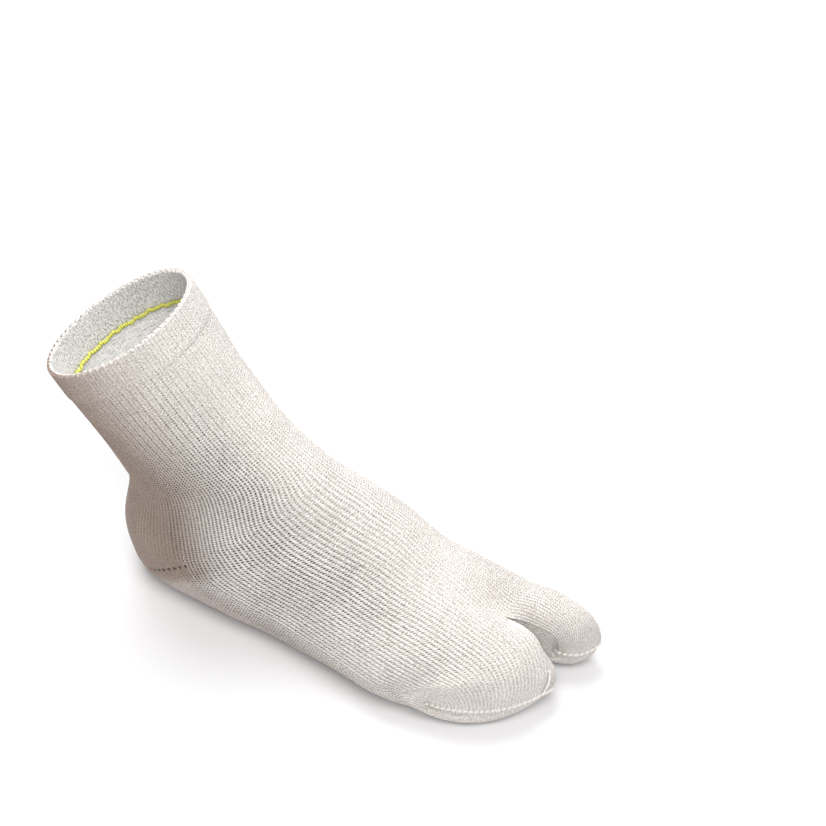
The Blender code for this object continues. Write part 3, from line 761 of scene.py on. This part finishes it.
def pocketGrid(toe):
    side, length, width = toe["side"], toe["length"], toe["width"]
    count = soleIndex - topIndex if side < 0 else columns - (soleIndex - topIndex)
    outer = (topIndex - side * np.arange(count + 1)) % columns
    fold = count
    wallCount = pocket["wallPoints"] + (-(count + pocket["wallPoints"])) % 4
    start = lastRing[outer]
    share = np.arange(1, wallCount)[:, None] / wallCount
    wall = start[-1] * (1 - share) + start[0] * share
    start = np.vstack([start, wall])
    total = len(start)
    corner = math.radians(pocket["corner"])

    def roundShares(values):  # points spaced evenly round a ring of the pocket
        halfWide, halfHigh = np.linalg.norm(values[2:4] - values[:2]) / 2, (values[5] - values[4]) / 2
        pieces = []
        for begin, end, steps in ((corner, -corner, fold), (-corner, corner - 2 * math.pi, wallCount)):
            turn = np.linspace(begin, end, 1501)
            c, s = np.cos(turn), np.sin(turn)
            power = 2 / np.where(c > 0, pocket["outerRound"], pocket["innerRound"])
            across, upward = np.sign(c) * np.abs(c) ** power, np.sign(s) * np.abs(s) ** power
            run = np.hypot(np.diff(across) * halfWide, np.diff(upward) * halfHigh)
            run = np.append(0, np.cumsum(run))
            at = run[-1] * np.arange(steps) / steps
            pieces.append((np.interp(at, run, across), np.interp(at, run, upward)))
        return np.concatenate([a for a, b in pieces]), np.concatenate([b for a, b in pieces])

    far = start[np.argmax(side * start[:, 1])]
    high = start[:, 2].max()
    cleftX, cleftY, ball = form["cleftX"], form["cleftY"], form["ballHeight"]
    shares = [(cleftX + ix * length, cleftY + side * iy * width,
               cleftX + ox * length, cleftY + side * oy * width, low * ball, topZ * ball, bow)
              for ix, iy, ox, oy, low, topZ, bow in toe["rings"]]
    table = np.array([(cleftX, cleftY, far[0], far[1], 0.0, high, shares[0][6])] + shares)

    def placed(values, across, upward):
        inner, outerEnd, low, topZ, bow = values[:2], values[2:4], values[4], values[5], values[6]
        chord = outerEnd - inner
        forward = np.array((abs(chord[1]), -chord[0] * np.sign(chord[1])))
        plan = inner + chord * ((across + 1) / 2)[:, None]
        plan = plan + forward * (bow * (1 - across**2))[:, None]
        z = (low + topZ) / 2 + (topZ - low) / 2 * upward
        return np.column_stack([plan, np.maximum(z, 0.0)])

    chord = far[:2] - table[0][:2]
    firstAcross = 2 * (start[:, :2] - table[0][:2]) @ chord / (chord @ chord) - 1
    firstUp = 2 * start[:, 2] / high - 1
    leftOver = start - placed(table[0], firstAcross, firstUp)
    rings = [start]
    for k in range(1, pocket["rows"] + 1):
        t = (len(table) - 1) * k / pocket["rows"]
        u = min(1.0, t / toe["settle"])
        blend = u * u * (3 - 2 * u)
        values = between(table, t)
        roundAcross, roundUp = roundShares(values)
        across = firstAcross + (roundAcross - firstAcross) * blend
        upward = firstUp + (roundUp - firstUp) * blend
        ring = placed(values, across, upward) + leftOver * (1 - blend)
        ring[:, 2] = np.maximum(ring[:, 2], 0.0)
        rings.append(ring)
    rings = pressed(np.array(rings))
    ramp = smoothStep(0, 3, np.arange(len(rings)))[:, None]
    wallPart = np.arange(total) > fold
    rings[:, :, 1] += side * pocket["cleftGap"] * ramp * wallPart[None, :]
    return rings, outer, fold


def shut(ring, fold):  # the last ring pressed flat along the seam
    mirror = (fold - np.arange(len(ring))) % len(ring)
    return (ring + ring[mirror]) / 2


def makePocket(name, toe):
    rings, outer, fold = pocketGrid(toe)
    side = toe["side"]
    count = rings.shape[1]
    normal = normalsOf(rings) * -side
    normal[0, : fold + 1] = tubeNormal[-1][outer]
    wale = (topIndex - side * np.arange(count)) / knit["pointsPerWale"]
    plain = np.zeros(count)
    plain[: fold + 1] = zonePlain(13.0, turnOf[outer])
    plain[fold + 1:] = np.linspace(plain[fold], plain[0], count - fold - 1)
    fade = 1 - pocket["seamFlatten"] * smoothStep(0.7, 1.0, np.linspace(0, 1, len(rings)))[:, None]
    height = (relief["toeHeight"] * (1 - plain) + relief["plainHeight"] * plain)[None, :] * fade
    cloth = rings + normal * (height * (waleRelief(wale)[None, :] - 1.0))[:, :, None]
    seam = shut(rings[-1], fold)
    cloth = np.concatenate([cloth, [seam]])
    picked = np.unique(np.append(np.arange(0, len(rings), 3), len(rings) - 1))[::-1]
    inner = rings[picked] - normal[picked] * form["wall"]
    inner = np.concatenate([[shut(inner[0], fold)], inner])
    points = np.concatenate([cloth, inner])
    course = columnLengths(cloth)
    course = course + np.append(tubeCourse[-1][outer], np.linspace(
        tubeCourse[-1][outer[-1]], tubeCourse[-1][outer[0]], count - fold - 1))[None, :]
    uv = np.empty((*points.shape[:2], 2))
    uv[:, :, 0] = wale[None, :]
    uv[: len(cloth), :, 1] = course
    uv[len(cloth):, :, 1] = course[np.append(picked[0], picked)]
    ones = np.ones(points.shape[:2])
    first = np.append(zoneEyelet(13.0, turnOf[outer]), np.full(count - fold - 1, pocket["eyelet"]))
    settled = smoothStep(0.0, 0.5, np.minimum(1, np.arange(len(points)) / len(rings)))[:, None]
    eyelet = first[None, :] * (1 - settled) + pocket["eyelet"] * settled
    layers = {"eyelet": eyelet, "plain": plain[None, :] * ones, "inside": 0 * ones}
    layers["inside"][len(cloth):] = 1.0
    piece = clothGrid(name, points, uv, layers, True, True, len(cloth) - 1)
    chain = list(range((fold + count) // 2 + 1, count)) + list(range(fold // 2 + 1))
    return piece, seam[chain]


bigPocket, bigSeamLine = makePocket("bigToePocket", bigToe)
dress(bigPocket, legKnit, "big_toe_pocket")
smallPocket, smallSeamLine = makePocket("smallToesPocket", smallToes)
dress(smallPocket, legKnit, "small_toes_pocket")
print("toe pockets")

# The linked stitches of a toe seam: a row of short leaning loops of yarn
link = {"spacing": 0.0026, "length": 0.0029, "width": 0.0015, "lean": 26.0, "inset": 0.0004,
        "endGap": 0.001}


def makeSeam(name, line, node):
    steps = np.linalg.norm(np.diff(line, axis=0), axis=1)
    run = np.concatenate([[0], np.cumsum(steps)])
    count = max(2, int(run[-1] / link["spacing"]))
    at = np.linspace(link["endGap"], run[-1] - link["endGap"], count)
    centres = np.column_stack([np.interp(at, run, line[:, k]) for k in range(3)])
    links = []
    for k, centre in enumerate(centres):
        along = Vector(centres[min(k + 1, count - 1)] - centres[max(k - 1, 0)]).normalized()
        ahead = Vector((abs(along.y), -along.x * (1 if along.y > 0 else -1), 0)).normalized()
        bpy.ops.object.select_all(action="DESELECT")
        bpy.ops.mesh.primitive_uv_sphere_add(segments=10, ring_count=7, radius=0.5)
        one = bpy.context.active_object
        upward = along.cross(ahead).normalized()
        basis = Matrix((along, ahead, upward)).transposed().to_4x4()
        tilt = Matrix.Rotation(math.radians(link["lean"]), 4, "Y")
        size = Matrix.Diagonal((link["length"], link["width"], link["width"], 1.0))
        spot = Vector(centre) + Vector(form["shift"]) + ahead * (link["width"] / 2 - link["inset"])
        one.data.transform(Matrix.Translation(spot) @ basis @ tilt @ size)
        one.data.shade_smooth()
        links.append(one)
    bpy.ops.object.select_all(action="DESELECT")
    for one in links:
        one.select_set(True)
    bpy.context.view_layer.objects.active = links[0]
    bpy.ops.object.join()
    piece = bpy.context.active_object
    piece.name = name
    dress(piece, seamYarn, node)


makeSeam("bigToeSeam", bigSeamLine, "big_toe_seam")
makeSeam("smallToesSeam", smallSeamLine, "small_toes_seam")
print("toe seams")

# The lime yarn: two plies that turn round each other and sway a little
marker = {"size": 0.0020, "plySize": 0.0013, "place": 1.04, "turns": 70, "sway": 0.00035,
          "waves": [(32, 1.0, 0), (11, 0.7, 1), (57, 0.6, 0)]}


def makeMarker():
    ring, normal = ringAndNormal(marker["place"])
    below = evenRing(marker["place"] + 0.05)
    down = unit(below - ring)
    phase = 2 * math.pi * np.arange(columns) / columns
    sway = sum(share * np.sin(phase * times + ahead) for times, share, ahead in marker["waves"])
    middle = ring - normal * (form["wall"] + marker["size"] * 0.55)
    middle = middle + down * (marker["sway"] * sway)[:, None]
    bpy.ops.object.select_all(action="DESELECT")
    plies = []
    for half in (0.0, math.pi):
        twist = marker["turns"] * phase + half
        reach = marker["size"] / 2 - marker["plySize"] / 2 + 0.0001
        points = middle + reach * (np.cos(twist)[:, None] * normal + np.sin(twist)[:, None] * down)
        points = points + np.array(form["shift"])
        curve = bpy.data.curves.new("ply", "CURVE")
        curve.dimensions = "3D"
        curve.bevel_depth = marker["plySize"] / 2
        curve.bevel_resolution = 1
        line = curve.splines.new("POLY")
        line.points.add(columns - 1)
        line.points.foreach_set("co", np.column_stack([points, np.ones(columns)]).ravel())
        line.use_cyclic_u = True
        ply = bpy.data.objects.new("ply", curve)
        bpy.context.scene.collection.objects.link(ply)
        ply.select_set(True)
        plies.append(ply)
    bpy.context.view_layer.objects.active = plies[0]
    bpy.ops.object.convert(target="MESH")
    bpy.ops.object.join()
    piece = bpy.context.active_object
    piece.name = "markerYarn"
    piece.data.shade_smooth()
    dress(piece, limeYarn, "marker_yarn")


makeMarker()
print("marker yarn")

# Floor, light and camera
stage = {
    "floor": "#e6e7e9",
    "floorGlow": 0.04,  # a little light of its own keeps the shadow soft
    "cameraDistance": 1.3,
    "cameraAzimuth": 26.92,
    "cameraElevation": 48.56,
    "target": (-0.006904, 0.003358, 0.070),
    "focalPixels": 2703.3,
    "axisPixel": (307.2, 506.8),
    "pictureSide": 826,  # pixels
    "lights": [  # name, place, aim, size, watts, colour
        ("keyLight", (0.45, -0.6, 1.75), (0.02, 0.0, 0.05), 1.3, 23.0, "#fffcfa"),
        ("topLight", (-0.65, 0.6, 1.6), (0.0, 0.0, 0.0), 1.2, 27.0, "#ffffff"),
    ],
    "roomLight": "#fffdfb",
    "roomStrength": 0.45,
}

bpy.ops.object.select_all(action="DESELECT")
bpy.ops.mesh.primitive_plane_add(size=6.0, location=(0, 0, 0))
floor = bpy.context.active_object
floor.name = "floor"
floorMaterial, floorTree, floorShader = newMaterial("white studio floor")
floorShader.inputs["Base Color"].default_value = linear(stage["floor"], 1)
floorShader.inputs["Roughness"].default_value = 0.9
floorShader.inputs["Emission Color"].default_value = linear(stage["floor"], 1)
floorShader.inputs["Emission Strength"].default_value = stage["floorGlow"]
floor.data.materials.append(floorMaterial)


def areaLight(name, place, aim, size, power, colour):
    data = bpy.data.lights.new(name, "AREA")
    data.shape = "DISK"
    data.size = size
    data.energy = power
    data.color = linear(colour)
    light = bpy.data.objects.new(name, data)
    light.location = place
    light.rotation_euler = (Vector(aim) - Vector(place)).to_track_quat("-Z", "Y").to_euler()
    bpy.context.scene.collection.objects.link(light)


for light in stage["lights"]:
    areaLight(*light)
world = bpy.data.worlds.new("soft studio")
bpy.context.scene.world = world
world.use_nodes = True
room = world.node_tree.nodes["Background"]
room.inputs["Color"].default_value = linear(stage["roomLight"], 1)
room.inputs["Strength"].default_value = stage["roomStrength"]

azimuth, elevation = math.radians(stage["cameraAzimuth"]), math.radians(stage["cameraElevation"])
back = Vector((math.sin(azimuth) * math.cos(elevation), -math.cos(azimuth) * math.cos(elevation),
               math.sin(elevation)))
right = Vector((math.cos(azimuth), math.sin(azimuth), 0.0))
up = back.cross(right)
cameraData = bpy.data.cameras.new("camera")
camera = bpy.data.objects.new("camera", cameraData)
bpy.context.scene.collection.objects.link(camera)
camera.location = Vector(stage["target"]) + back * stage["cameraDistance"]
# The axis is turned to the middle of the picture, so that no shift is needed.
halfSide = stage["pictureSide"] / 2
axisX, axisY = stage["axisPixel"]
middle = Vector((halfSide - axisX, axisY - halfSide, -stage["focalPixels"]))
turn = Vector((0, 0, -1)).rotation_difference(middle)
camera.rotation_mode = "QUATERNION"
camera.rotation_quaternion = Matrix((right, up, back)).transposed().to_quaternion() @ turn
cameraData.sensor_width = 36.0
cameraData.lens = cameraData.sensor_width * stage["focalPixels"] / stage["pictureSide"]
cameraData.clip_start, cameraData.clip_end = 0.05, 20.0
bpy.context.scene.camera = camera
bpy.context.scene.view_settings.view_transform = "Standard"
print("stage and camera")
